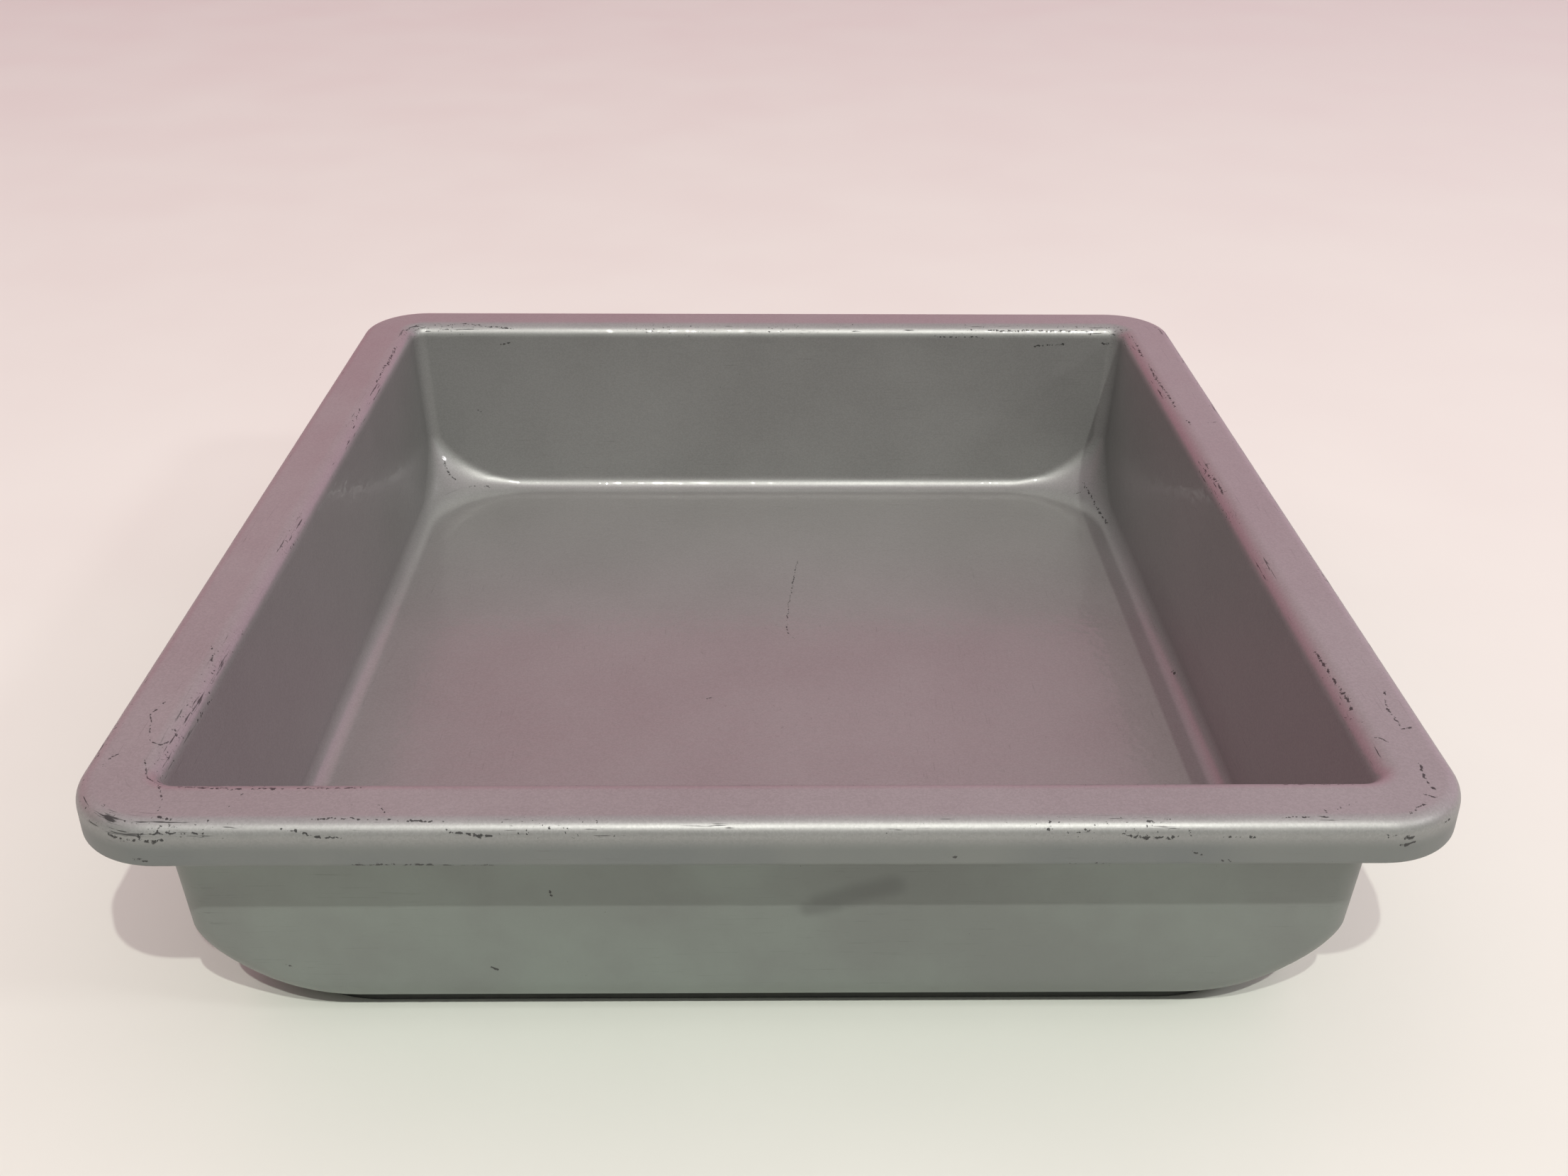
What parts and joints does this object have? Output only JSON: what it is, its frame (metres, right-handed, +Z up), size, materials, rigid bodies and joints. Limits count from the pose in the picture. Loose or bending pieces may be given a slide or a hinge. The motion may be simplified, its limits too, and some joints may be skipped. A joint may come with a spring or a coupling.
{
  "type": "loaf pan",
  "caption": "Nearly square deep pan with a wide flat rim, down-turned skirt and large-radius floor corners, standing on a narrow non-slip foot ring.",
  "frame": {"origin": "centre of the footprint, on the surface that the foot ring stands on", "axes": "+Z up, +Y along the longer side of the rim, away from the viewer; +X along the shorter side"},
  "size_m": [0.325, 0.354, 0.076],
  "materials": {
    "silver_coat": "satin silver-grey metallic coat over a black moulding, glossier inside, scuffed to black along the rim",
    "black_foot": "matt near-black, lightly dusty"
  },
  "bodies": {
    "root": {"pan_shell": "silver_coat", "foot_ring": "black_foot"}
  },
  "joints": []
}
